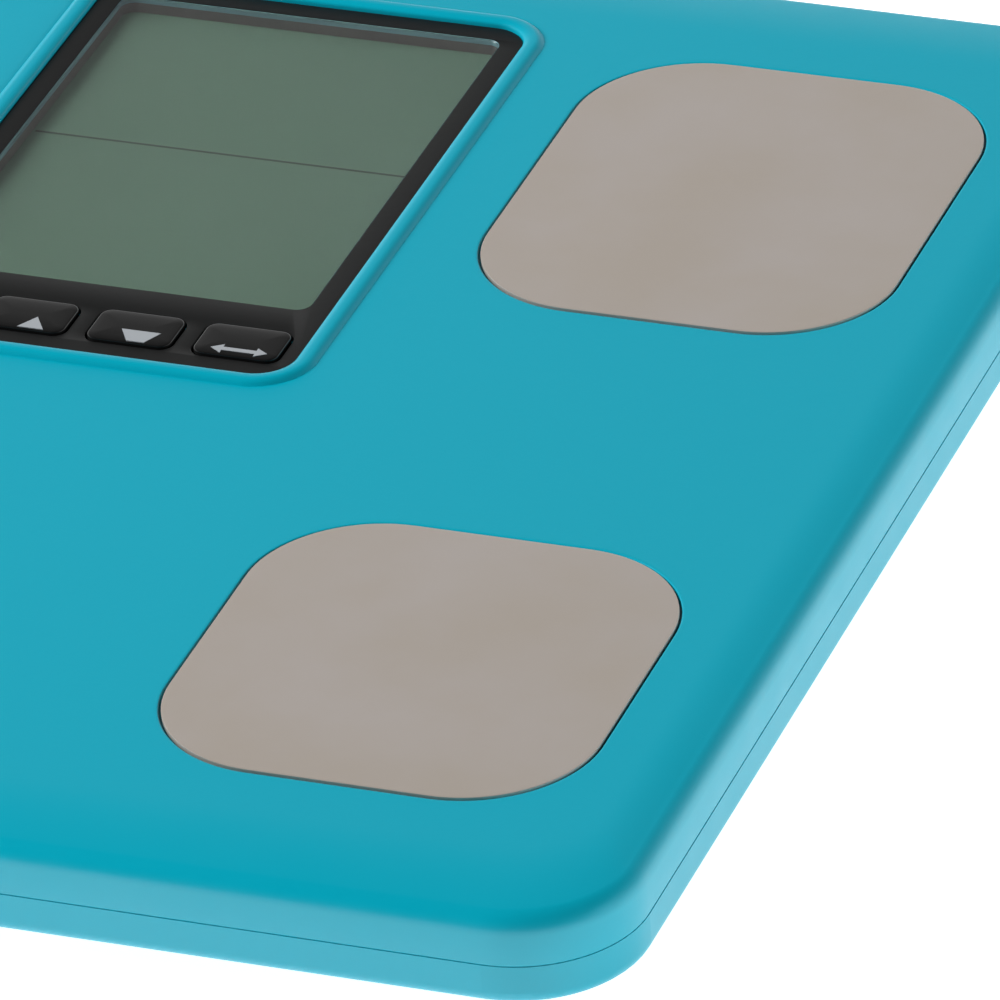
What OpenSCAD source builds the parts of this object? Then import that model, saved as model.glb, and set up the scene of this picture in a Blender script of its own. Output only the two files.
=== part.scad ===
// Body composition bathroom scale: low square platform with four steel foot plates,
// a portrait display in a raised frame, four keys, load cells over four feet.
// Millimetres. Feet stand on z = 0, the display is towards +Y.

/* [Shell] */
// Width of the platform, left to right
body_w = 286; // [276:1:300]
// Length of the platform, front to back
body_l = 288; // [276:1:300]
// Plan radius of the platform corners
body_r = 20; // [16:1:26]
// Height of the standing surface above the floor
top_z = 22; // [22:0.5:26]
// Radius of the rolled upper edge
top_edge_r = 4.4; // [3.5:0.1:5]
// Radius of the rolled lower edge
low_edge_r = 2.4; // [1.5:0.1:3]
// Side wall thickness
wall = 2.2; // [1.8:0.1:2.6]
// Thickness of the flat skins
skin = 2; // [1.8:0.1:2.2]

/* [Foot plates] */
// Distance of the plate centres from the centreline
plate_x = 90.1; // [86:0.1:92]
// Centre of the toe plates
toe_y = 73; // [71:0.5:75]
// Centre of the heel plates
heel_y = -78; // [-80:0.5:-76]
// Width of every plate
plate_w = 70.8; // [66:0.1:74]
// Length of the toe plates
toe_l = 85; // [80:0.5:88]
// Length of the heel plates
heel_l = 75; // [70:0.5:78]
// Corner radius of the plates
plate_r = 20.7; // [16:0.1:24]
// Thickness of the plates
plate_t = 0.9; // [0.8:0.1:1]

/* [Display] */
// Width of the opening inside the raised frame
panel_w = 77.2; // [74:0.1:80]
// Length of the opening inside the raised frame
panel_l = 121.5; // [118:0.5:124]
// Centre of the opening along Y
panel_y = 58.5; // [57:0.5:60]
// Corner radius of the opening
panel_r = 6.5; // [5:0.5:8]
// Thickness of the black panel and its window
panel_t = 1.2; // [1:0.1:1.2]
// Width of the raised frame
rim_w = 3.5; // [3:0.1:5]
// Height of the raised frame over the standing surface
rim_h = 0.9; // [0.6:0.1:1.2]
// Width of the window
win_w = 69; // [66:0.5:70]
// Length of the window
win_l = 95; // [90:0.5:96]
// Centre of the window along Y
win_y = 67.6; // [67:0.1:69]

/* [Keys] */
// Spacing of the keys
key_pitch = 18.6; // [18:0.1:19.4]
// Width of a key opening
key_w = 15.4; // [14:0.1:16]
// Length of a key opening
key_l = 10.3; // [9.5:0.1:11.5]
// Centre of the keys along Y
key_y = 7.55; // [7.3:0.05:7.8]
// Clearance round a key
key_gap = 0.35; // [0.3:0.05:0.5]

/* [Feet] */
// Distance of the feet from the centreline
foot_x = 103; // [98:0.5:108]
// Distance of the feet from the cross centreline
foot_y = 98; // [95:0.5:102]
// Radius of a foot
foot_r = 21; // [20:0.5:23]
// Height of the feet below the lower cover
foot_drop = 5.2; // [4.6:0.1:5.6]

/* [Battery bay] */
// Inside width of the bay
bay_w = 46; // [45.5:0.5:48]
// Inside length of the bay
bay_l = 52; // [51:0.5:54]
// Centre of the bay along Y
bay_y = -78; // [-82:0.5:-74]
// Thickness of the battery door
door_t = 2.4; // [2.2:0.1:2.6]

/* [Hidden] */
$fn = 48;
under_z = foot_drop;
part_z = top_z - 9.7;
seam = 0.3;
skin_z = top_z - skin;
floor_z = under_z + skin;
lip_h = 1.6;
lip_t = 1.4;
plate_z = top_z + 0.1 - plate_t;
panel_top = top_z - 0.3;
panel_z = panel_top - panel_t;
bed_z = panel_z - 2;
bed_w = panel_w + 8;
bed_l = panel_l + 8;
win_r = 2.5;
key_r = 2.4;
lcd_t = 2.2;
lcd_z = bed_z - lcd_t;
lcd_w = win_w + 4;
lcd_l = win_l + 6;
tray_h = 2.8;
tray_z = lcd_z - tray_h;
board_z = 11.5;
board_t = 1.6;
board_top = board_z + board_t;
board_w = 88;
board_l = 68;
board_y = 28;
post_r = 2.6;
post_x = 40.4;
board_post_y = [-2, 58];
tray_post_y = [35, 100];
tray_y0 = 21.5;
strip_w = 60;
strip_l = 2;
strip_y = 18.6;
stud_r = 2;
nut_h = 2.4;
tag_t = 0.5;
screw_r = 1.25;
boss_r = 3.4;
rim_foot = 0.2;
pillar_z = 10.2;
sink_r = 3.6;
sink_z = 7.4;
side_spots = [for (x = [-132, 132], y = [-45, 45]) [x, y]];
end_spots = [for (x = [-45, 45], y = [-131, 131]) [x, y]];
case_spots = concat(side_spots, end_spots);
hatch_r = foot_r + 0.6;
flange_r = foot_r + 2.6;
guide_r = foot_r + 3.4;
cup_r = foot_r - 2.4;
ledge_z = 10.6;
cell_w = 30;
cell_r = 8;
cell_t = 2.2;
seat_h = 2.7;
seat_top = ledge_z + cell_t + seat_h;
pad_t = 1.6;
pad_r = 17;
bay_wall = 1.6;
hinge_r = door_t / 2;
hinge_y = bay_y - bay_l / 2 + 1.4;
hinge_z = under_z + hinge_r;
pin_r = 0.7;
cell_d = 10.5;
aaa_l = 43.3;
aaa_z = under_z + door_t + 0.3 + cell_d / 2;
aaa_pitch = 10.9;
lead_z = board_top + 0.6;

// Rounded rectangle, centred
module rr(w, l, r) {
  square([w - 2 * r, l], center = true);
  square([w, l - 2 * r], center = true);
  for (x = [-1, 1], y = [-1, 1]) translate([x * (w / 2 - r), y * (l / 2 - r)]) circle(r);
}

// Straight-sided plate with rounded corners, standing on z
module plate(w, l, r, z, h) translate([0, 0, z]) linear_extrude(h) rr(w, l, r);

// Child outline swept round a rounded rectangle: its x is 0 at the edge and negative inwards
module swept(w, l, r) {
  for (a = [0, 1]) {
    rotate(180 * a) translate([w / 2, l / 2 - r, 0]) rotate([90, 0, 0])
      linear_extrude(l - 2 * r) children();
    rotate(180 * a + 90) translate([l / 2, w / 2 - r, 0]) rotate([90, 0, 0])
      linear_extrude(w - 2 * r) children();
    for (m = [0, 1]) mirror([m, 0, 0]) rotate(180 * a) translate([w / 2 - r, l / 2 - r, 0])
      rotate_extrude(angle = 90) translate([r, 0]) children();
  }
}

// Band of an edge profile: full height, with its upper outer corner rolled by e
module rolled_band(d, h, e) {
  translate([-d, 0]) square([d, h - e]);
  translate([-d, 0]) square([d - e, h]);
  intersection() {
    translate([-e, h - e]) circle(e);
    translate([-d, 0]) square([d, h]);
  }
}

// Slab from z = 0 to h with its upper edge rolled
module rolled(w, l, r, h, e) {
  d = r - 1;
  swept(w, l, r) rolled_band(d, h, e);
  linear_extrude(h) rr(w - 2 * d, l - 2 * d, r - d);
}

module ring(r1, r2, z, h) translate([0, 0, z]) difference() {
  cylinder(r = r1, h = h);
  translate([0, 0, -1]) cylinder(r = r2, h = h + 2);
}

module case_bosses() for (p = case_spots) translate([p[0], p[1], pillar_z])
  cylinder(r = boss_r, h = skin_z - pillar_z + 0.5);

module key_places() for (i = [-1.5:1:1.5]) translate([i * key_pitch, key_y, 0]) children();

module foot_place(sx, sy) translate([sx * foot_x, sy * foot_y, 0]) children();

module all_feet() for (sx = [-1, 1], sy = [-1, 1]) foot_place(sx, sy) children();

module all_plates() for (sx = [-1, 1], y = [toe_y, heel_y]) translate([sx * plate_x, y, 0]) children();

module rim_profile() {
  h = rim_h - rim_foot;
  r = (rim_w * rim_w / 4 + h * h) / (2 * h);
  intersection() {
    translate([-rim_w / 2, top_z + rim_h - r]) circle(r, $fn = 96);
    translate([-rim_w, top_z - 0.5]) square([rim_w, rim_h + 1]);
  }
  translate([-rim_w, bed_z + 0.5]) square([rim_w, top_z - bed_z - 0.5]);
}

module top_cover() color([0.1, 0.6, 0.7]) difference() {
  union() {
    difference() {
      translate([0, 0, part_z + seam]) rolled(body_w, body_l, body_r, top_z - part_z - seam, top_edge_r);
      translate([0, 0, part_z - 1])
        rolled(body_w - 2 * wall, body_l - 2 * wall, body_r - wall, skin_z - part_z + 1, top_edge_r - skin);
    }
    translate([0, panel_y, 0]) plate(bed_w, bed_l, panel_r + 4, bed_z, top_z - bed_z);
    translate([0, panel_y, 0]) swept(panel_w + 2 * rim_w, panel_l + 2 * rim_w, panel_r + rim_w) rim_profile();
    case_bosses();
    all_feet() translate([0, 0, seat_top]) cylinder(r = 6, h = skin_z - seat_top + 0.5);
    for (s = [-1, 1], y = board_post_y) translate([s * post_x, y, board_top])
      cylinder(r = post_r, h = bed_z - board_top + 0.5);
    for (s = [-1, 1], y = tray_post_y) translate([s * post_x, y, lcd_z])
      cylinder(r = post_r, h = lcd_t + 0.5);
  }
  translate([0, panel_y, 0]) plate(panel_w, panel_l, panel_r, panel_z, 5);
  translate([0, win_y, 0]) plate(win_w, win_l, win_r, bed_z - 1, 5);
  key_places() plate(key_w, key_l, key_r, bed_z - 1, 5);
  for (s = [-1, 1]) {
    translate([s * plate_x, toe_y, 0]) plate(plate_w + 0.8, toe_l + 0.8, plate_r + 0.4, plate_z, 5);
    translate([s * plate_x, heel_y, 0]) plate(plate_w + 0.8, heel_l + 0.8, plate_r + 0.4, plate_z, 5);
  }
  all_plates() translate([0, 0, skin_z - 1]) cylinder(r = stud_r + 0.2, h = skin + 2);
  for (p = case_spots) translate([p[0], p[1], pillar_z - 1]) cylinder(r = screw_r + 0.05, h = 8);
  for (s = [-1, 1], y = board_post_y) translate([s * post_x, y, board_top - 1])
    cylinder(r = 1, h = 5.5);
  for (s = [-1, 1], y = tray_post_y) translate([s * post_x, y, lcd_z - 1]) cylinder(r = 1, h = 4);
}

module bottom_cover() color([0.14, 0.64, 0.74]) difference() {
  union() {
    difference() {
      translate([0, 0, part_z]) mirror([0, 0, 1])
        rolled(body_w, body_l, body_r, part_z - under_z, low_edge_r);
      plate(body_w - 2 * wall, body_l - 2 * wall, body_r - wall, floor_z, 20);
    }
    difference() {
      plate(body_w - 2 * wall - 0.4, body_l - 2 * wall - 0.4, body_r - wall - 0.2, floor_z,
        part_z - floor_z + lip_h);
      plate(body_w - 2 * (wall + lip_t), body_l - 2 * (wall + lip_t), body_r - wall - lip_t, floor_z - 1, 20);
    }
    all_feet() ring(guide_r + 1.2, guide_r, floor_z - 0.5, 3.8);
    for (p = case_spots) translate([p[0], p[1], floor_z - 0.5])
      cylinder(r = boss_r + 0.8, h = pillar_z - floor_z + 0.5);
    translate([0, bay_y, 0])
      plate(bay_w + 2 * bay_wall, bay_l + 2 * bay_wall, 1.8, under_z, skin_z - seam - under_z);
  }
  translate([0, bay_y, 0]) plate(bay_w, bay_l, 0.5, under_z - 1, 20);
  for (s = [-1, 1]) translate([s * (bay_w / 2 - 0.5), hinge_y, hinge_z]) rotate([0, s * 90, 0])
    cylinder(r = pin_r + 0.05, h = 1.7);
  all_feet() translate([0, 0, under_z - 1]) cylinder(r = hatch_r, h = 5);
  for (p = case_spots) translate([p[0], p[1], under_z - 1]) {
    cylinder(r = sink_r, h = sink_z - under_z + 1);
    cylinder(r = screw_r + 0.25, h = 8);
  }
  for (s = [-1, 1]) translate([s * 8, bay_y + bay_l / 2 + 1, 12.5]) rotate([90, 0, 0])
    cylinder(r = 0.8, h = 6, center = true);
}

module display_panel() color([0.06, 0.06, 0.06]) difference() {
  translate([0, panel_y, 0]) plate(panel_w, panel_l, panel_r, panel_z, panel_t);
  translate([0, win_y, 0]) plate(win_w, win_l, win_r, panel_z - 1, 5);
  key_places() plate(key_w, key_l, key_r, panel_z - 1, 5);
}

module display_window() color([0.75, 0.82, 0.84, 0.35])
  translate([0, win_y, 0]) plate(win_w, win_l, win_r, panel_z, panel_t);

module lcd_glass() color([0.38, 0.45, 0.4]) translate([0, win_y, lcd_z]) {
  translate([-lcd_w / 2, -lcd_l / 2, 0]) cube([lcd_w, lcd_l, lcd_t / 2]);
  translate([-lcd_w / 2, -lcd_l / 2 + 3, lcd_t / 2]) cube([lcd_w, lcd_l - 3, lcd_t / 2]);
}

module lcd_tray() color([0.85, 0.85, 0.83]) {
  far = win_y + lcd_l / 2;
  difference() {
    translate([-lcd_w / 2, tray_y0, tray_z]) cube([lcd_w, far - tray_y0, tray_h]);
    translate([-lcd_w / 2 + 2, tray_y0 + 2, tray_z - 1]) cube([lcd_w - 4, far - tray_y0 - 4, tray_h - 0.2]);
  }
  for (s = [-1, 1], y = tray_post_y) difference() {
    translate([s > 0 ? lcd_w / 2 : -post_x - post_r - 0.6, y - 3.2, lcd_z - 1.4])
      cube([post_x + post_r + 0.6 - lcd_w / 2, 6.4, 1.4]);
    translate([s * post_x, y, lcd_z - 2]) cylinder(r = 1.25, h = 3);
  }
}

module contact_strip() color([0.85, 0.6, 0.65]) translate([-strip_w / 2, strip_y - strip_l / 2, board_top])
  cube([strip_w, strip_l, lcd_z - board_top]);

module foot_plate(l) color([0.66, 0.63, 0.6]) {
  translate([0, 0, plate_z]) rolled(plate_w, l, plate_r, plate_t, 0.5);
  translate([0, 0, 16]) cylinder(r = stud_r, h = plate_z - 16);
}

module toe_plate_left() translate([-plate_x, toe_y, 0]) foot_plate(toe_l);
module toe_plate_right() translate([plate_x, toe_y, 0]) foot_plate(toe_l);
module heel_plate_left() translate([-plate_x, heel_y, 0]) foot_plate(heel_l);
module heel_plate_right() translate([plate_x, heel_y, 0]) foot_plate(heel_l);

module plate_nuts() color([0.75, 0.75, 0.73]) all_plates()
  translate([0, 0, skin_z - tag_t - nut_h]) difference() {
    cylinder(r = 4, h = nut_h, $fn = 6);
    translate([0, 0, -1]) cylinder(r = stud_r, h = nut_h + 2);
  }

module plate_tags() color([0.8, 0.78, 0.6]) all_plates() difference() {
  translate([0, 0, skin_z - tag_t]) {
    cylinder(r = 4.4, h = tag_t);
    translate([-1.2, -9, 0]) cube([2.4, 9, tag_t]);
  }
  translate([0, 0, skin_z - tag_t - 1]) cylinder(r = stud_r, h = 3);
}

module key_cap() color([0.05, 0.05, 0.05]) {
  w = key_w - 2 * key_gap;
  l = key_l - 2 * key_gap;
  translate([0, 0, bed_z - 0.3]) rolled(w, l, key_r - key_gap, top_z + 0.3 - bed_z + 0.3, 0.5);
  plate(w + 2, l + 2, key_r, bed_z - 1.2, 0.9);
  translate([0, 0, 15.6]) cylinder(r = 1.8, h = bed_z - 1.2 - 15.6);
}

module key_set() translate([-1.5 * key_pitch, key_y, 0]) key_cap();
module key_up() translate([-0.5 * key_pitch, key_y, 0]) key_cap();
module key_down() translate([0.5 * key_pitch, key_y, 0]) key_cap();
module key_swap() translate([1.5 * key_pitch, key_y, 0]) key_cap();

module main_board() color([0.1, 0.4, 0.2]) difference() {
  translate([-board_w / 2, board_y - board_l / 2, board_z]) cube([board_w, board_l, board_t]);
  for (s = [-1, 1], y = board_post_y) translate([s * post_x, y, board_z - 1]) cylinder(r = 1.3, h = 4);
}

module key_switches() color([0.3, 0.3, 0.3]) key_places() {
  translate([-3, -3, board_top]) cube([6, 6, 1.4]);
  translate([0, 0, board_top + 1.4]) cylinder(r = 1.7, h = 0.5);
}

module board_chips() color([0.12, 0.12, 0.12]) {
  translate([-5, 20, board_z - 1.4]) cube([10, 10, 1.4]);
  translate([-24, 30, board_z - 1.2]) cube([6, 5, 1.2]);
  translate([18, 34, board_z - 1.2]) cube([5, 6, 1.2]);
  translate([-12, 42, board_z - 1]) cube([9, 3.4, 1]);
}

module buzzer() color([0.15, 0.15, 0.15]) difference() {
  translate([28, 10, board_z - 2.8]) cylinder(r = 6, h = 2.8);
  translate([28, 10, board_z - 3.8]) cylinder(r = 1, h = 2);
}

module load_cell() color([0.72, 0.72, 0.74]) translate([0, 0, ledge_z]) difference() {
  linear_extrude(cell_t) difference() {
    rr(cell_w, cell_w, cell_r);
    for (s = [-1, 1]) translate([s * 6.4 - 0.8, -9]) square([1.6, 18]);
    translate([-7.2, 7.4]) square([14.4, 1.6]);
    for (s = [-1, 1]) translate([s * 10.8, -9]) circle(1.4);
  }
  translate([0, 0, -1]) cylinder(r = 1.6, h = 2);
}

module load_cell_toe_left() foot_place(-1, 1) load_cell();
module load_cell_toe_right() foot_place(1, 1) load_cell();
module load_cell_heel_left() foot_place(-1, -1) load_cell();
module load_cell_heel_right() foot_place(1, -1) load_cell();

module cell_seats() color([0.3, 0.3, 0.32]) all_feet() translate([0, 0, ledge_z + cell_t]) {
  cylinder(r = 4, h = seat_h);
  translate([0, 0, seat_h - 1]) cylinder(r = 5.4, h = 1);
}

module cell_gauges() color([0.95, 0.95, 0.92]) all_feet()
  translate([-3, -13.5, ledge_z + cell_t]) cube([6, 5, 0.8]);

module foot() color([0.8, 0.8, 0.8]) {
  difference() {
    translate([0, 0, 1]) cylinder(r = foot_r, h = ledge_z + 1.4 - 1);
    translate([0, 0, 3]) cylinder(r = cup_r, h = 20);
    cylinder(r = pad_r, h = pad_t);
  }
  ring(flange_r, foot_r - 1, floor_z + 0.4, 1.3);
  difference() {
    translate([0, 0, 2.5]) cylinder(r = cup_r + 0.5, h = ledge_z - 2.5);
    translate([0, 0, 3]) linear_extrude(20) rr(cell_w - 5, cell_w - 5, cell_r - 2.5);
  }
}

module foot_toe_left() foot_place(-1, 1) foot();
module foot_toe_right() foot_place(1, 1) foot();
module foot_heel_left() foot_place(-1, -1) foot();
module foot_heel_right() foot_place(1, -1) foot();

module pad() color([0.2, 0.2, 0.2]) difference() {
  cylinder(r = pad_r, h = pad_t);
  for (r = [7, 12]) ring(r + 0.8, r - 0.8, -1, 1.5);
}

module pad_toe_left() foot_place(-1, 1) pad();
module pad_toe_right() foot_place(1, 1) pad();
module pad_heel_left() foot_place(-1, -1) pad();
module pad_heel_right() foot_place(1, -1) pad();

module battery_door() color([0.16, 0.66, 0.76]) {
  w = bay_w - 0.6;
  far = bay_y + bay_l / 2 - 0.5;
  difference() {
    translate([-w / 2, hinge_y, under_z]) cube([w, far - hinge_y, door_t]);
    translate([0, far - 3, under_z - 8.6]) rotate([0, 90, 0]) cylinder(r = 9.6, h = 14, center = true);
    translate([-w / 2 + 2, hinge_y + 3, under_z + 1.6]) cube([w - 4, far - hinge_y - 14, 2]);
  }
  translate([-w / 2, hinge_y, hinge_z]) rotate([0, 90, 0]) cylinder(r = hinge_r, h = w);
  for (s = [-1, 1]) translate([s * (w / 2 - 0.5), hinge_y, hinge_z]) rotate([0, s * 90, 0])
    cylinder(r = pin_r, h = 1.6);
}

module batteries() color([0.55, 0.56, 0.6]) for (i = [0:3])
  translate([(i - 1.5) * aaa_pitch, bay_y, aaa_z]) rotate([i % 2 == 0 ? 90 : -90, 0, 0])
    translate([0, 0, -aaa_l / 2 - 0.6]) {
      cylinder(r = cell_d / 2, h = aaa_l);
      translate([0, 0, aaa_l]) cylinder(r = 1.9, h = 1.2);
    }

module battery_contacts() color([0.78, 0.78, 0.75]) for (s = [-1, 1], i = [0:3]) {
  t = 0.4;
  at_nub = (i % 2 == 0) == (s < 0);
  y = bay_y + s * (bay_l / 2 - t / 2);
  reach = bay_l / 2 - (aaa_l / 2 + 0.6) - t;
  translate([(i - 1.5) * aaa_pitch, y, aaa_z]) cube([8.4, t, 8.4], center = true);
  translate([(i - 1.5) * aaa_pitch, y - s * t / 2, aaa_z]) rotate([s * 90, 0, 0])
    cylinder(r1 = at_nub ? 2.4 : 3.6, r2 = 1.6, h = reach);
}

// Turns +Z onto a direction
module turn(d) rotate([0, acos(d[2] / norm(d)), atan2(d[1], d[0])]) children();

// Lead through a list of points, its pieces meeting at each bend
module lead(pts, r) for (i = [0:len(pts) - 2]) {
  d = (pts[i + 1] - pts[i]) / norm(pts[i + 1] - pts[i]);
  lap = 0.4 * r;
  translate(pts[i] - lap * d) turn(d) cylinder(r = r, h = norm(pts[i + 1] - pts[i]) + 2 * lap, $fn = 12);
}

module cell_leads() color([0.8, 0.8, 0.8]) for (s = [-1, 1]) {
  r = 0.7;
  z = ledge_z + cell_t + 0.9 + r;
  start_x = foot_x - 4;
  toe = [[start_x, foot_y - 10, z], [foot_x - 14, foot_y - 16, z], [54, 70, z], [42.6, 51, lead_z + 0.2]];
  heel = [[start_x, -foot_y - 10, z], [foot_x - 20, -foot_y + 8, z], [52, -30, z], [42.6, 6, lead_z + 0.2]];
  for (path = [toe, heel]) lead([for (p = path) [s * p[0], p[1], p[2]]], r);
}

module plate_leads() color([0.75, 0.2, 0.15]) for (s = [-1, 1]) {
  z = skin_z - tag_t - 0.5;
  toe = [[plate_x, toe_y - 7.6, z], [62, toe_y - 14, z], [42.6, 44, lead_z]];
  heel = [[plate_x, heel_y - 7.6, z], [60, heel_y + 30, z], [42.6, 14, lead_z]];
  for (path = [toe, heel]) lead([for (p = path) [s * p[0], p[1], p[2]]], 0.5);
}

module battery_leads() color([0.7, 0.15, 0.12]) for (s = [-1, 1]) {
  y = bay_y + bay_l / 2;
  lead([[s * 8, y + 0.6, 12.5], [s * 8, y + 8, 12.5], [s * 8, -12, lead_z], [s * 8, -3.4, lead_z]], 0.5);
}

module screw(head_r, head_h, r, l) {
  difference() {
    translate([0, 0, -head_h]) cylinder(r = head_r, h = head_h);
    for (a = [0, 90]) rotate(a) translate([0, 0, -head_h]) cube([head_r * 1.2, 0.6, head_h], center = true);
  }
  cylinder(r = r, h = l);
}

module case_screws() color([0.6, 0.6, 0.6]) for (p = case_spots)
  translate([p[0], p[1], sink_z]) screw(2.8, 1.6, screw_r, 8);

module board_screws() color([0.6, 0.6, 0.6]) for (s = [-1, 1], y = board_post_y)
  translate([s * post_x, y, board_z]) screw(2, 1.2, 0.95, 5);

module tray_screws() color([0.6, 0.6, 0.6]) for (s = [-1, 1], y = tray_post_y)
  translate([s * post_x, y, lcd_z - 1.4]) screw(1.8, 0.9, 0.95, 3.6);

top_cover();
bottom_cover();
display_panel();
display_window();
lcd_glass();
lcd_tray();
contact_strip();
toe_plate_left();
toe_plate_right();
heel_plate_left();
heel_plate_right();
plate_nuts();
plate_tags();
key_set();
key_up();
key_down();
key_swap();
main_board();
key_switches();
board_chips();
buzzer();
load_cell_toe_left();
load_cell_toe_right();
load_cell_heel_left();
load_cell_heel_right();
cell_seats();
cell_gauges();
foot_toe_left();
foot_toe_right();
foot_heel_left();
foot_heel_right();
pad_toe_left();
pad_toe_right();
pad_heel_left();
pad_heel_right();
battery_door();
batteries();
battery_contacts();
cell_leads();
plate_leads();
battery_leads();
case_screws();
board_screws();
tray_screws();
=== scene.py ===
"""Body composition bathroom scale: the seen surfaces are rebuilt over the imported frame, in metres.
Lengths below are in millimetres and are turned into metres as each surface is made."""

import math

import bpy
import numpy as np
from mathutils import Matrix, Vector
from mathutils.geometry import tessellate_polygon


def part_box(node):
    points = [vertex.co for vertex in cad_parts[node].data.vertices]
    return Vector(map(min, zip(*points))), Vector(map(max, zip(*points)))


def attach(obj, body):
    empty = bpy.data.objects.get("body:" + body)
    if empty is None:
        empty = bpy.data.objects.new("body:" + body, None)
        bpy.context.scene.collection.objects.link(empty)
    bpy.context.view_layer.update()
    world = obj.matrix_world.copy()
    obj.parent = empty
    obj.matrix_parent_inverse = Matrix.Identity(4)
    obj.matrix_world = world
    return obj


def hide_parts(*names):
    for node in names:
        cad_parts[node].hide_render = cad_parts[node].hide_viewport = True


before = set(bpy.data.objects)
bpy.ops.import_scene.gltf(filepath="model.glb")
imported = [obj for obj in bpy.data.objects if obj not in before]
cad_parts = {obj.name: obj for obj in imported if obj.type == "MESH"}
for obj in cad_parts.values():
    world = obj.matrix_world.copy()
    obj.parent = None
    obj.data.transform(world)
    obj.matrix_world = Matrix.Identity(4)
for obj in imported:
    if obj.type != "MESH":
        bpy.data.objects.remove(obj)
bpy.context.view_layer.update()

ARC = 20
MM = 0.001


def node_box(name):
    """Lowest and highest corner of a CAD node, in millimetres."""
    lo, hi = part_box(name)
    return np.array(lo) / MM, np.array(hi) / MM


TOP_HI = node_box("top_cover")[1]
PANEL_LO, PANEL_HI = node_box("display_panel")
WIN_LO, WIN_HI = node_box("display_window")
LCD_LO, LCD_HI = node_box("lcd_glass")
PLATE_NAMES = ("toe_plate_left", "toe_plate_right", "heel_plate_left", "heel_plate_right")
KEY_NAMES = ("key_set", "key_up", "key_down", "key_swap")
PLATES = {n: node_box(n) for n in PLATE_NAMES}
KEYS = {n: node_box(n) for n in KEY_NAMES}
HALF_X, HALF_Y = TOP_HI[0], TOP_HI[1]
TOP_Z = PLATES["toe_plate_right"][1][2] - 0.1
PANEL_Z = PANEL_HI[2]
BED_Z = LCD_HI[2]
LCD_FACE = LCD_HI[2] - 0.02
BODY_R = 20.0
PLATE_R = 20.7
PANEL_R = 6.5
RIM_W = 3.5
RIM_H = TOP_HI[2] - TOP_Z
PART_Z = TOP_Z - 9.7
ROLL_R = 3.4
ROLL_DROP = 4.4
CROWN_FALL = 0.95
CROWN_X, CROWN_Y = 10.0, 17.4
ROLL_START = math.radians(7)
WALL = 2.2
SKIN_T = 2.1
PLATE_GAP = 0.4
PLATE_SHEET = 0.9


# ---------------------------------------------------------------- surfaces

def loop(cx, cy, hx, hy, r, arc=None):
    """Points of a rounded rectangle, anticlockwise: each corner is a quarter circle of radius r about
    (cx +- (hx - r), cy +- (hy - r)), with the same count of points whatever its size."""
    arc = arc or ARC
    r = max(min(r, hx - 1e-3, hy - 1e-3), 1e-3)
    a = np.linspace(0, math.pi / 2, arc + 1)
    out = []
    for k, (sx, sy) in enumerate(((1, 1), (-1, 1), (-1, -1), (1, -1))):
        t = a + k * math.pi / 2
        out.append(np.stack([cx + sx * (hx - r) + r * np.cos(t), cy + sy * (hy - r) + r * np.sin(t)], 1))
    return np.concatenate(out)


class Skin:
    """Gathers closed bands and flat fills into one mesh, in millimetres."""

    def __init__(self):
        self.verts, self.faces, self.count = [], [], 0

    def ring(self, xy, z):
        """Adds one closed loop of points at height z and returns the numbers of its points."""
        z = np.broadcast_to(np.asarray(z, float), (len(xy),))
        self.verts.append(np.column_stack([xy, z]))
        ids = np.arange(self.count, self.count + len(xy))
        self.count += len(xy)
        return ids

    def band(self, a, b, flip=False):
        """Quads between two rings with the same count of points."""
        quads = np.stack([a, np.roll(a, -1), np.roll(b, -1), b], 1)
        self.faces.extend((quads[:, ::-1] if flip else quads).tolist())

    def rings(self, rows, flip=False):
        """A profile along rounded rectangles: rows hold (cx, cy, hx, hy, r, z), joined in turn."""
        ids = [self.ring(loop(*row[:5]), row[5]) for row in rows]
        for a, b in zip(ids, ids[1:]):
            self.band(a, b, flip)
        return ids[0], ids[-1]

    def fill(self, outer, holes=(), up=True):
        """Flat triangles between an outer ring and any holes in it."""
        pts = np.concatenate(self.verts)
        lists = [outer, *holes]
        flat = [int(i) for part in lists for i in part]
        tris = tessellate_polygon([[Vector(pts[i]) for i in part] for part in lists])
        for t in tris:
            a, b, c = (flat[i] for i in t)
            n = np.cross(pts[b] - pts[a], pts[c] - pts[a])[2]
            if abs(n) < 1e-9:
                continue
            self.faces.append((a, b, c) if (n > 0) == up else (a, c, b))

    def build(self, name, smooth=35.0):
        """Makes the object, in metres, shaded smooth below the given angle."""
        v = np.concatenate(self.verts) * MM
        me = bpy.data.meshes.new(name)
        me.from_pydata(v.tolist(), [], self.faces)
        me.validate()
        me.update()
        o = bpy.data.objects.new(name, me)
        bpy.context.collection.objects.link(o)
        sharpen(me, smooth)
        return o


def sharpen(me, degrees):
    """Shades a mesh smooth, with its edges sharp where its faces turn by more than the angle."""
    me.polygons.foreach_set("use_smooth", np.ones(len(me.polygons), dtype=bool))
    me.set_sharp_from_angle(angle=math.radians(degrees))


def quarter(n, start=0.0):
    """Angles of an edge rounding from start to 90 degrees, in radians."""
    return np.radians(np.linspace(start, 90.0, n))


# ---------------------------------------------------------------- materials

def material(name, colour, rough, metal=0.0, spec=0.5):
    """A principled surface with its colour set on the socket."""
    m = bpy.data.materials.new(name)
    m.use_nodes = True
    p = m.node_tree.nodes["Principled BSDF"]
    p.inputs["Base Color"].default_value = (*colour, 1)
    p.inputs["Roughness"].default_value = rough
    p.inputs["Metallic"].default_value = metal
    p.inputs["Specular IOR Level"].default_value = spec
    return m, m.node_tree, p


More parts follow.
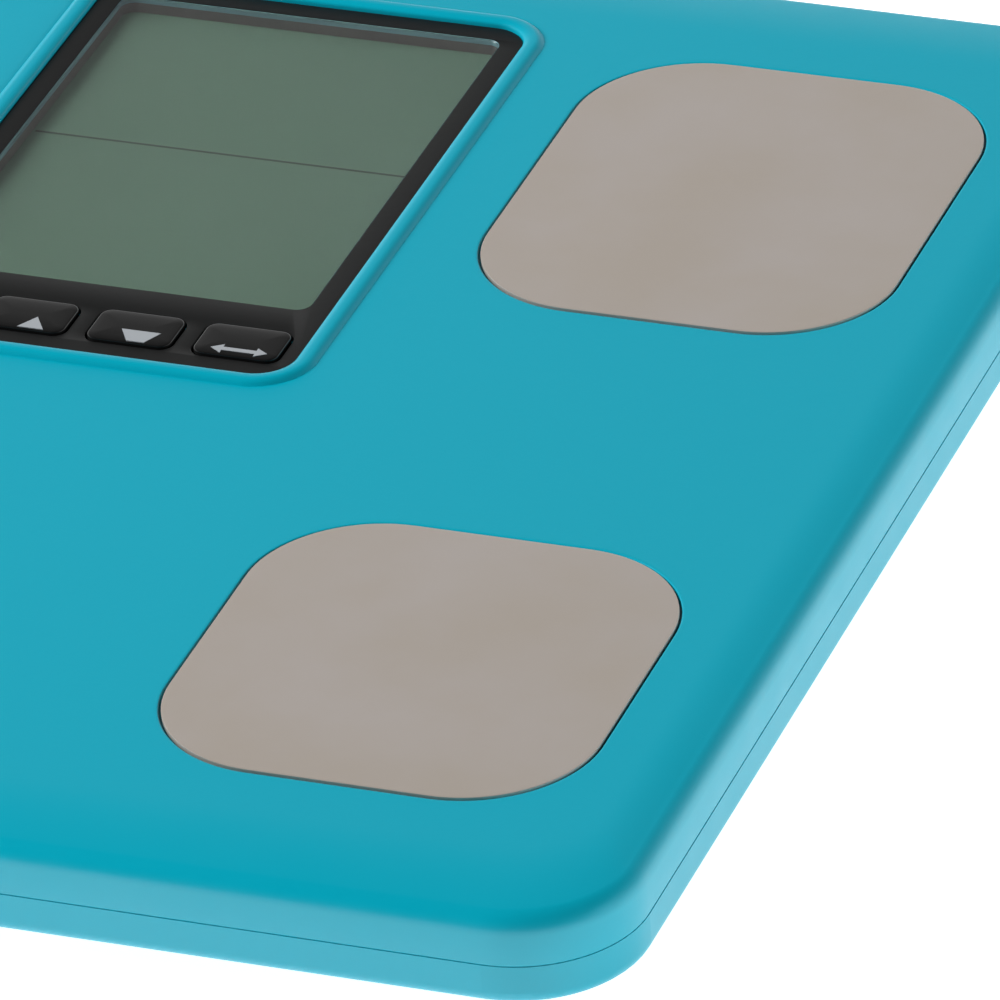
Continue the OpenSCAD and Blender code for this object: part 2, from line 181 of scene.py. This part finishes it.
def noise(tree, scale, detail):
    """Noise read in object space."""
    co = tree.nodes.new("ShaderNodeTexCoord")
    no = tree.nodes.new("ShaderNodeTexNoise")
    no.inputs["Scale"].default_value = scale
    no.inputs["Detail"].default_value = detail
    tree.links.new(co.outputs["Object"], no.inputs["Vector"])
    return no.outputs["Fac"]


def speckle(tree, p, scale, lo, hi):
    """Roughness drifts between two values with noise in object space."""
    ra = tree.nodes.new("ShaderNodeMapRange")
    ra.inputs["From Min"].default_value = 0.3
    ra.inputs["From Max"].default_value = 0.7
    ra.inputs["To Min"].default_value = lo
    ra.inputs["To Max"].default_value = hi
    tree.links.new(noise(tree, scale, 4.0), ra.inputs["Value"])
    tree.links.new(ra.outputs["Result"], p.inputs["Roughness"])


def grain(tree, p, scale, height):
    """Fine bump from noise in object space; height in metres."""
    bu = tree.nodes.new("ShaderNodeBump")
    bu.inputs["Strength"].default_value = 1.0
    bu.inputs["Distance"].default_value = height
    tree.links.new(noise(tree, scale, 3.0), bu.inputs["Height"])
    tree.links.new(bu.outputs["Normal"], p.inputs["Normal"])


def two_tone(tree, p, scale, dark, light):
    """Base colour drifts between two close tones with noise in object space."""
    ra = tree.nodes.new("ShaderNodeValToRGB")
    ra.color_ramp.elements[0].position = 0.35
    ra.color_ramp.elements[1].position = 0.65
    ra.color_ramp.elements[0].color = (*dark, 1)
    ra.color_ramp.elements[1].color = (*light, 1)
    tree.links.new(noise(tree, scale, 5.0), ra.inputs["Fac"])
    tree.links.new(ra.outputs["Color"], p.inputs["Base Color"])


TURQ = (0.0, 0.302, 0.405)
MAT = {}


def make_materials():
    """One procedural surface for every kind of piece."""
    m, t, p = material("turquoise_top", TURQ, 0.36, spec=0.42)
    speckle(t, p, 90, 0.33, 0.39)
    grain(t, p, 900, 0.00001)
    MAT["top"] = m
    m, t, p = material("turquoise_low", (0.002, 0.31, 0.415), 0.33, spec=0.42)
    speckle(t, p, 90, 0.30, 0.36)
    grain(t, p, 900, 0.00001)
    MAT["low"] = m
    m, t, p = material("black_panel", (0.0085, 0.0088, 0.0088), 0.38, spec=0.22)
    speckle(t, p, 60, 0.35, 0.41)
    grain(t, p, 700, 0.000008)
    MAT["panel"] = m
    m, t, p = material("black_key", (0.008, 0.008, 0.008), 0.12, spec=0.7)
    speckle(t, p, 120, 0.09, 0.15)
    MAT["key"] = m
    m, t, p = material("key_print", (0.30, 0.32, 0.34), 0.4)
    speckle(t, p, 300, 0.35, 0.45)
    MAT["print"] = m
    m, t, p = material("clear_window", (1, 1, 1), 0.03)
    p.inputs["Transmission Weight"].default_value = 1.0
    p.inputs["IOR"].default_value = 1.49
    MAT["window"] = m
    m, t, p = material("lcd_face", (0.147, 0.256, 0.19), 0.45, spec=0.3)
    two_tone(t, p, 14, (0.139, 0.248, 0.18), (0.155, 0.264, 0.2))
    MAT["lcd"] = m
    # Painted glow: this light blue-grey stands in for light seen in the cut edge of the clear window.
    m, t, p = material("window_edge_painted_glow", (0.19, 0.38, 0.44), 0.5)
    speckle(t, p, 200, 0.35, 0.45)
    MAT["edge"] = m
    # Painted shade: this dim grey stands in for the shadow down in the recess between the window and the
    # LCD.
    m, t, p = material("window_painted_shade_grey", (0.13, 0.12, 0.115), 0.6)
    speckle(t, p, 200, 0.55, 0.65)
    MAT["painted_shade"] = m
    m, t, p = material("lcd_line", (0.05, 0.075, 0.06), 0.5)
    speckle(t, p, 200, 0.45, 0.55)
    MAT["line"] = m
    m, t, p = material("steel_plate", (0.75, 0.67, 0.61), 0.5, metal=0.68)
    two_tone(t, p, 34, (0.755, 0.672, 0.592), (0.785, 0.712, 0.66))
    speckle(t, p, 40, 0.485, 0.515)
    grain(t, p, 1400, 0.000006)
    MAT["steel"] = m
    m, t, p = material("zinc", (0.6, 0.6, 0.58), 0.35, metal=1.0)
    speckle(t, p, 200, 0.28, 0.42)
    MAT["zinc"] = m
    m, t, p = material("grey_foot", (0.42, 0.44, 0.45), 0.5)
    speckle(t, p, 200, 0.45, 0.56)
    MAT["foot"] = m
    m, t, p = material("dark_rubber", (0.02, 0.02, 0.021), 0.8)
    grain(t, p, 600, 0.00004)
    MAT["rubber"] = m
    m, t, p = material("white_moulding", (0.75, 0.75, 0.73), 0.45)
    speckle(t, p, 120, 0.4, 0.5)
    MAT["white"] = m
    m, t, p = material("dark_part", (0.03, 0.03, 0.032), 0.45)
    speckle(t, p, 300, 0.4, 0.5)
    MAT["dark"] = m
    m, t, p = material("board", (0.02, 0.14, 0.06), 0.4)
    speckle(t, p, 300, 0.34, 0.46)
    MAT["board"] = m
    m, t, p = material("battery_sleeve", (0.08, 0.09, 0.11), 0.3)
    speckle(t, p, 150, 0.25, 0.36)
    MAT["battery"] = m
    m, t, p = material("lead_grey", (0.35, 0.35, 0.35), 0.5)
    speckle(t, p, 400, 0.45, 0.55)
    MAT["lead"] = m
    m, t, p = material("lead_red", (0.4, 0.03, 0.02), 0.5)
    speckle(t, p, 400, 0.45, 0.55)
    MAT["red"] = m


make_materials()


def wear(o, key):
    """Gives a piece its surface."""
    o.data.materials.clear()
    o.data.materials.append(MAT[key])


# ---------------------------------------------------------------- top cover

def cover_rows():
    """Edge of the top cover as offsets from the plan outline and heights. With t running 0 to 1 outward
    the crown falls by CROWN_FALL t^2 over CROWN_Y at the front and back and CROWN_X at the sides, then a
    quarter circle of radius ROLL_R turns down to the wall."""
    wall_top = TOP_Z - ROLL_DROP
    d0 = ROLL_R * (1 - math.sin(ROLL_START))
    rise = (TOP_Z - CROWN_FALL - wall_top) / math.cos(ROLL_START)
    rows = [(CROWN_X + 1.5, CROWN_Y + 0.9, TOP_Z)]
    for t in np.linspace(0, 1, 12)[:-1]:
        rows.append((CROWN_X + (d0 - CROWN_X) * t, CROWN_Y + (d0 - CROWN_Y) * t, TOP_Z - CROWN_FALL * t * t))
    for a in quarter(ARC + 4, math.degrees(ROLL_START)):
        d = ROLL_R * (1 - math.sin(a))
        rows.append((d, d, wall_top + rise * math.cos(a)))
    return rows


def make_top():
    """Top cover: rounded rectangle outline with rolled edge, plate pockets, raised frame and
    display bed."""
    s = Skin()
    outer = []
    for dx, dy, z in cover_rows():
        r = BODY_R - min(dx, dy) + 0.4 * (max(dx, dy) - min(dx, dy))
        outer.append((0, 0, HALF_X - dx, HALF_Y - dy, r, z))
    bottom = PART_Z - 0.04
    for inset, rise in ((0.0, 0.45), (0.04, 0.3), (0.12, 0.1), (0.16, 0.0)):
        outer.append((0, 0, HALF_X - inset, HALF_Y - inset, BODY_R - inset, bottom + rise))
    for inset, z in ((WALL, bottom), (WALL, TOP_Z - ROLL_DROP), (4.0, TOP_Z - SKIN_T)):
        outer.append((0, 0, HALF_X - inset, HALF_Y - inset, BODY_R - inset, z))
    start, ceiling = s.rings(outer, flip=True)
    holes = []
    for lo, hi in PLATES.values():
        c, h = (lo + hi) / 2, (hi - lo) / 2 + PLATE_GAP
        r, e = PLATE_R + PLATE_GAP, 0.3
        rows = [(c[0], c[1], h[0] + e + 0.4, h[1] + e + 0.4, r + e + 0.4, TOP_Z)]
        for a in quarter(5):
            d = e * (1 - math.sin(a))
            rows.append((c[0], c[1], h[0] + d, h[1] + d, r + d, TOP_Z - e * (1 - math.cos(a))))
        rows.append((c[0], c[1], h[0], h[1], r, lo_plate(hi)))
        rim, floor = s.rings(rows, flip=False)
        holes.append(rim)
        s.fill(floor, up=True)
    pc, ph = (PANEL_LO + PANEL_HI) / 2, (PANEL_HI - PANEL_LO) / 2
    rows = []
    for off, dz in rim_rows():
        rows.append((pc[0], pc[1], ph[0] + off, ph[1] + off, PANEL_R + off, TOP_Z + dz))
    pocket_z = PANEL_LO[2]
    rows.append((pc[0], pc[1], ph[0], ph[1], PANEL_R, pocket_z))
    base, pocket = s.rings(rows, flip=False)
    holes.append(base)
    s.fill(start, holes, up=True)
    upper, lower = [], []
    for cx, cy, hx, hy, r in openings():
        a, b = s.rings([(cx, cy, hx, hy, r, pocket_z), (cx, cy, hx, hy, r, BED_Z)])
        upper.append(a)
        lower.append(b)
    s.fill(pocket, upper, up=True)
    bed_h = ph + 4.0
    bed = (pc[0], pc[1], bed_h[0], bed_h[1], PANEL_R + 4)
    low_bed, high_bed = s.rings([(*bed, BED_Z), (*bed, TOP_Z - SKIN_T)])
    s.fill(low_bed, lower, up=False)
    s.fill(ceiling, [high_bed], up=False)
    o = s.build("top_cover_skin", 30)
    wear(o, "top")
    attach(o, "platform")
    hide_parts("top_cover")
    return o


def lo_plate(hi):
    """Height of the underside of a plate's sheet."""
    return hi[2] - PLATE_SHEET


def openings():
    """Window and key openings of the black panel as (cx, cy, hx, hy, r)."""
    c, h = (WIN_LO + WIN_HI) / 2, (WIN_HI - WIN_LO) / 2
    out = [(c[0], c[1], h[0], h[1], 2.5)]
    for lo, hi in KEYS.values():
        c, h = (lo + hi) / 2, (hi - lo) / 2
        out.append((c[0], c[1], h[0] - 1 + 0.35, h[1] - 1 + 0.35, 2.4))
    return out


def rim_rows():
    """Raised frame from its outer foot over its crest to its inner wall: offset outward and height.
    The bead is z = H (1 - |u|^2.6) with u from -1 at the foot to 1 at the opening, cut off 0.3 mm up
    on the inside and meeting the standing surface in a crease."""
    rows = [(RIM_W + 1.0, 0.0), (RIM_W + 0.25, 0.0), (RIM_W + 0.05, -0.03)]
    n = 22
    for k in range(1, n):
        u = 2 * k / n - 1
        foot = 0.0 if u < 0 else 0.3
        rows.append((RIM_W * (1 - u) / 2, foot + (RIM_H - foot) * (1 - abs(u) ** 2.6)))
    rows.append((0.06, 0.24))
    rows.append((0.0, 0.12))
    return rows


make_top()


# ---------------------------------------------------------------- plates

def make_plate(name):
    """Foot plate: a sheet with a rolled edge over a round stud."""
    lo, hi = PLATES[name]
    c, h = (lo + hi) / 2, (hi - lo) / 2
    z1, z0, e = hi[2] + 0.08, lo_plate(hi), 0.08
    s = Skin()
    rows = [(c[0], c[1], h[0] - 0.5, h[1] - 0.5, PLATE_R - 0.5, z0)]
    rows.append((c[0], c[1], h[0], h[1], PLATE_R, z0 + 0.1))
    for a in quarter(7)[::-1]:
        d = e * (1 - math.sin(a))
        rows.append((c[0], c[1], h[0] - d, h[1] - d, PLATE_R - d, z1 - e * (1 - math.cos(a))))
    rows.append((c[0], c[1], h[0] - e - 0.5, h[1] - e - 0.5, PLATE_R - e - 0.5, z1))
    low, top = s.rings(rows)
    s.fill(top, up=True)
    a = np.linspace(0, 2 * math.pi, 33)[:-1]
    disc = np.stack([c[0] + 2 * np.cos(a), c[1] + 2 * np.sin(a)], 1)
    stud_top, stud_low = s.ring(disc, z0), s.ring(disc, lo[2])
    s.band(stud_top, stud_low, flip=True)
    s.fill(low, [stud_top], up=False)
    s.fill(stud_low, up=False)
    o = s.build(name + "_sheet", 40)
    wear(o, "steel")
    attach(o, "platform")
    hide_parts(name)
    return o


for plate_name in PLATES:
    make_plate(plate_name)


# ---------------------------------------------------------------- display

def make_panel():
    """Black panel: a flat sheet with small rounded edges at its outline, window and key openings."""
    s = Skin()
    c, h = (PANEL_LO + PANEL_HI) / 2, (PANEL_HI - PANEL_LO) / 2 - 0.06
    z0, z1, e = PANEL_LO[2], PANEL_HI[2], 0.25
    levels = ((0, z0), (0, z1 - 0.12), (0.12, z1))
    low, top = s.rings([(c[0], c[1], h[0] - d, h[1] - d, PANEL_R - d, z) for d, z in levels])
    ups, downs = [], []
    for k, (cx, cy, hx, hy, r) in enumerate(openings()):
        b = 0.06 if k == 0 else e
        rows = []
        for a in quarter(5):
            d = b * (1 - math.sin(a))
            rows.append((cx, cy, hx + d, hy + d, r + d, z1 - b * (1 - math.cos(a))))
        rows.append((cx, cy, hx, hy, r, z0))
        u, d = s.rings(rows)
        ups.append(u)
        downs.append(d)
    s.fill(top, ups, up=True)
    s.fill(low, downs, up=False)
    o = s.build("display_panel_sheet", 40)
    wear(o, "panel")
    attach(o, "platform")
    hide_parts("display_panel")


def make_window():
    """Clear window: a thin flat sheet filling the opening in the panel."""
    s = Skin()
    gap, sunk, sheet = 0.14, 0.1, 0.25
    c, h = (WIN_LO + WIN_HI) / 2, (WIN_HI - WIN_LO) / 2 - gap
    z1 = WIN_HI[2] - sunk
    z0 = z1 - sheet
    low, top = s.rings([(c[0], c[1], h[0], h[1], 2.5, z0), (c[0], c[1], h[0], h[1], 2.5, z1)])
    s.fill(top, up=True)
    s.fill(low, up=False)
    o = s.build("display_window_sheet", 40)
    wear(o, "window")
    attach(o, "platform")
    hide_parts("display_window")


def make_lcd():
    """LCD: two glass sheets, the upper one ending short of the lower at the contact edge."""
    s = Skin()
    c, h = (LCD_LO + LCD_HI) / 2, (LCD_HI - LCD_LO) / 2
    shelf, split = 3.0, LCD_HI[2] - 1.1
    for z0, z1, cut in ((LCD_LO[2], split, 0.0), (split, LCD_FACE, shelf)):
        cy, hy = c[1] + cut / 2, h[1] - cut / 2
        low, top = s.rings([(c[0], cy, h[0], hy, 0.2, z0), (c[0], cy, h[0], hy, 0.2, z1)])
        s.fill(top, up=True)
        s.fill(low, up=False)
    o = s.build("lcd_sheets", 40)
    wear(o, "lcd")
    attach(o, "platform")
    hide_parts("lcd_glass")


def make_lining(name, key, z0, z1, inset):
    """Thin upright band round the inside of the window opening, between two heights."""
    s = Skin()
    c, h = (WIN_LO + WIN_HI) / 2, (WIN_HI - WIN_LO) / 2
    a, b = h - inset, h - inset - 0.05
    outer = s.rings([(c[0], c[1], a[0], a[1], 2.45, z0), (c[0], c[1], a[0], a[1], 2.45, z1)])
    inner = s.rings([(c[0], c[1], b[0], b[1], 2.35, z0), (c[0], c[1], b[0], b[1], 2.35, z1)], flip=True)
    s.band(outer[1], inner[1])
    s.band(inner[0], outer[0])
    o = s.build(name, 30)
    wear(o, key)
    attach(o, "platform")


make_panel()
make_window()
make_lcd()
# The band just under the panel is painted glow: its light blue-grey stands in for light seen in the clear
# window's cut edge.
make_lining("window_edge", "edge", PANEL_Z - 1.3, PANEL_Z - 0.1, 0.0)
# The band below it is painted shade: a dim grey sheet put where the recess over the LCD lies in shadow.
make_lining("window_painted_shade", "painted_shade", BED_Z + 0.02, PANEL_Z - 1.32, 0.02)


# ---------------------------------------------------------------- keys

KEY_TOP = KEYS["key_up"][1][2]
PRINT_SUNK, PRINT_PROUD = 0.14, 0.02


def make_key(name):
    """Key: a rounded rectangle cap with a small edge radius and a slight dome, over its flange
    and stem."""
    lo, hi = KEYS[name]
    c, h = (lo + hi) / 2, (hi - lo) / 2
    fz0, fz1 = BED_Z - 1.2, BED_Z - 0.3
    kx, ky, r = h[0] - 1.0, h[1] - 1.0, 2.05
    s = Skin()
    rows = [(c[0], c[1], h[0], h[1], 2.4, z) for z in (fz0, fz1)]
    rows.append((c[0], c[1], kx, ky, r, fz1))
    e, dome = 0.35, 0.12
    for a in quarter(7)[::-1]:
        d = e * (1 - math.sin(a))
        rows.append((c[0], c[1], kx - d, ky - d, r - d, KEY_TOP - dome - e * (1 - math.cos(a))))
    for t in (0.25, 0.45, 0.62, 0.76, 0.88, 0.95):
        d = e + t * (ky - e - 0.3)
        rows.append((c[0], c[1], kx - d, ky - d, max(r - d, 0.25), KEY_TOP - dome * (1 - t) ** 2))
    low, top = s.rings(rows)
    s.fill(top, up=True)
    a = np.linspace(0, 2 * math.pi, 25)[:-1]
    disc = np.stack([c[0] + 1.8 * np.cos(a), c[1] + 1.8 * np.sin(a)], 1)
    stem_top, stem_low = s.ring(disc, fz0), s.ring(disc, lo[2])
    s.band(stem_top, stem_low, flip=True)
    s.fill(low, [stem_top], up=False)
    s.fill(stem_low, up=False)
    o = s.build(name + "_cap", 50)
    wear(o, "key")
    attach(o, name + "_body")
    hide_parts(name)


def make_symbol(name, key, polygons):
    """Printed sign: flat outlines a few hundredths thick lying on a key's top."""
    lo, hi = KEYS[key]
    c = (lo + hi) / 2
    s = Skin()
    for pts in polygons:
        xy = np.array(pts, float) + c[:2]
        if np.sum(xy[:, 0] * np.roll(xy[:, 1], -1) - np.roll(xy[:, 0], -1) * xy[:, 1]) < 0:
            xy = xy[::-1]
        low, top = s.ring(xy, KEY_TOP - PRINT_SUNK), s.ring(xy, KEY_TOP + PRINT_PROUD)
        s.band(low, top)
        s.fill(top, up=True)
        s.fill(low, up=False)
    o = s.build(name, 20)
    wear(o, "print")
    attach(o, key + "_body")


for key_name in KEYS:
    make_key(key_name)


def circle_ring(r1, r2, n=32, cy=-2.0):
    """A flat ring as a list of small four-sided tiles."""
    def spot(r, a):
        return (r * math.cos(a), cy + r * math.sin(a))
    a = np.linspace(0, 2 * math.pi, n + 1)
    return [[spot(r1, p), spot(r1, q), spot(r2, q), spot(r2, p)] for p, q in zip(a, a[1:])]


make_symbol("sign_up", "key_up", [[(-0.45, -4.55), (4.1, -4.55), (1.76, -0.9)]])
make_symbol("sign_down", "key_down", [[(-2.0, -1.1), (4.87, -1.1), (3.05, -4.55), (0.1, -4.55)]])
make_symbol("sign_swap", "key_swap", [
    [(-4.3, -3.1), (-2.3, -4.4), (-2.3, -1.8)],
    [(5.5, -3.1), (3.5, -1.8), (3.5, -4.4)],
    [(-2.3, -3.6), (3.5, -3.6), (3.5, -2.6), (-2.3, -2.6)],
])
make_symbol("sign_set", "key_set", circle_ring(1.9, 1.2))


RULE_Y = 71.5
RULE_HALF = 0.27


def make_line():
    """Thin dark rule across the LCD, a little above its middle."""
    s = Skin()
    xy = loop(0, RULE_Y, LCD_HI[0] - 2.5, RULE_HALF, 0.1, 2)
    low, top = s.ring(xy, LCD_FACE - 0.02), s.ring(xy, LCD_FACE + 0.012)
    s.band(low, top)
    s.fill(top, up=True)
    s.fill(low, up=False)
    o = s.build("lcd_rule", 20)
    wear(o, "line")
    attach(o, "platform")


make_line()


# ---------------------------------------------------------------- carried-over nodes

FINISH = {
    "low": ("bottom_cover", "battery_door"),
    "white": ("lcd_tray", "cell_gauges"),
    "zinc": ("plate_nuts", "plate_tags", "battery_contacts", "case_screws", "board_screws", "tray_screws",
             "load_cell_toe_left", "load_cell_toe_right", "load_cell_heel_left", "load_cell_heel_right"),
    "foot": ("foot_toe_left", "foot_toe_right", "foot_heel_left", "foot_heel_right"),
    "rubber": ("pad_toe_left", "pad_toe_right", "pad_heel_left", "pad_heel_right", "contact_strip"),
    "dark": ("key_switches", "board_chips", "buzzer", "cell_seats"),
    "board": ("main_board",),
    "battery": ("batteries",),
    "lead": ("cell_leads",),
    "red": ("plate_leads", "battery_leads"),
}
for finish_key, node_names in FINISH.items():
    for node_name in node_names:
        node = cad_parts[node_name]
        node.data.materials.clear()
        node.data.materials.append(MAT[finish_key])


# ---------------------------------------------------------------- floor, light and camera

def make_floor():
    """Pale plain floor: a wide flat sheet through z = 0, clear from below so that the underside
    can be seen."""
    s = Skin()
    ids = s.ring(np.array([(-4000, -4000), (4000, -4000), (4000, 4000), (-4000, 4000)], float), 0.0)
    s.fill(ids, up=True)
    o = s.build("floor", 20)
    m, t, p = material("floor_white", (0.88, 0.88, 0.88), 0.6)
    p.inputs["Specular IOR Level"].default_value = 0.1
    p.inputs["Emission Color"].default_value = (1, 1, 1, 1)
    p.inputs["Emission Strength"].default_value = 0.95
    geo = t.nodes.new("ShaderNodeNewGeometry")
    clear = t.nodes.new("ShaderNodeBsdfTransparent")
    mix = t.nodes.new("ShaderNodeMixShader")
    t.links.new(geo.outputs["Backfacing"], mix.inputs["Fac"])
    t.links.new(p.outputs["BSDF"], mix.inputs[1])
    t.links.new(clear.outputs["BSDF"], mix.inputs[2])
    t.links.new(mix.outputs["Shader"], t.nodes["Material Output"].inputs["Surface"])
    o.data.materials.append(m)


make_floor()


def area(name, place, size, power):
    """A soft rectangular light aimed at the middle of the object, left out of reflections."""
    d = bpy.data.lights.new(name, "AREA")
    d.shape = "RECTANGLE"
    d.size, d.size_y = size
    d.energy = power
    o = bpy.data.objects.new(name, d)
    bpy.context.collection.objects.link(o)
    o.location = place
    o.rotation_mode = "QUATERNION"
    o.rotation_quaternion = (-Vector(place)).to_track_quat("-Z", "Y")
    o.visible_glossy = False


area("left_light", (-1.95, -0.35, 1.6), (1.6, 1.6), 123)
area("right_light", (2.3, 0.3, 0.55), (1.6, 1.0), 30)

world = bpy.data.worlds.new("studio")
bpy.context.scene.world = world
world.use_nodes = True
wt = world.node_tree
wt.nodes.clear()
wo = wt.nodes.new("ShaderNodeOutputWorld")
bg = wt.nodes.new("ShaderNodeBackground")
co = wt.nodes.new("ShaderNodeTexCoord")
sep = wt.nodes.new("ShaderNodeSeparateXYZ")
ramp = wt.nodes.new("ShaderNodeValToRGB")
ramp.color_ramp.elements[0].position = 0.0
ramp.color_ramp.elements[0].color = (1.0, 1.0, 1.0, 1)
ramp.color_ramp.elements[1].position = 0.62
ramp.color_ramp.elements[1].color = (0.05, 0.05, 0.05, 1)
for place, grey in ((0.12, 0.95), (0.3, 0.5), (0.46, 0.2)):
    ramp.color_ramp.elements.new(place).color = (grey, grey, grey, 1)
side = wt.nodes.new("ShaderNodeMapRange")
side.interpolation_type = "SMOOTHSTEP"
side.inputs["From Min"].default_value = -0.75
side.inputs["From Max"].default_value = 0.15
side.inputs["To Min"].default_value = 0.12
side.inputs["To Max"].default_value = 1.0
wt.links.new(co.outputs["Generated"], sep.inputs["Vector"])
wt.links.new(sep.outputs["Z"], ramp.inputs["Fac"])
wt.links.new(sep.outputs["Y"], side.inputs["Value"])
wt.links.new(ramp.outputs["Color"], bg.inputs["Color"])
wt.links.new(side.outputs["Result"], bg.inputs["Strength"])
wt.links.new(bg.outputs["Background"], wo.inputs["Surface"])

cam_data = bpy.data.cameras.new("camera")
cam_data.sensor_width = 36
cam_data.lens = 425.35
cam_data.clip_start, cam_data.clip_end = 0.05, 50
cam = bpy.data.objects.new("camera", cam_data)
bpy.context.collection.objects.link(cam)
right = Vector((0.940008, 0.336503, -0.056131))
up = Vector((-0.126208, 0.495873, 0.859175))
back = Vector((0.316948, -0.800547, 0.508594))
cam.matrix_world = Matrix.Translation(Vector((0.678902, -1.527802, 0.973916))) @ Matrix(
    (right, up, back)).transposed().to_4x4()
bpy.context.scene.camera = cam

scene = bpy.context.scene
scene.view_settings.view_transform = "Standard"
scene.view_settings.look = "None"
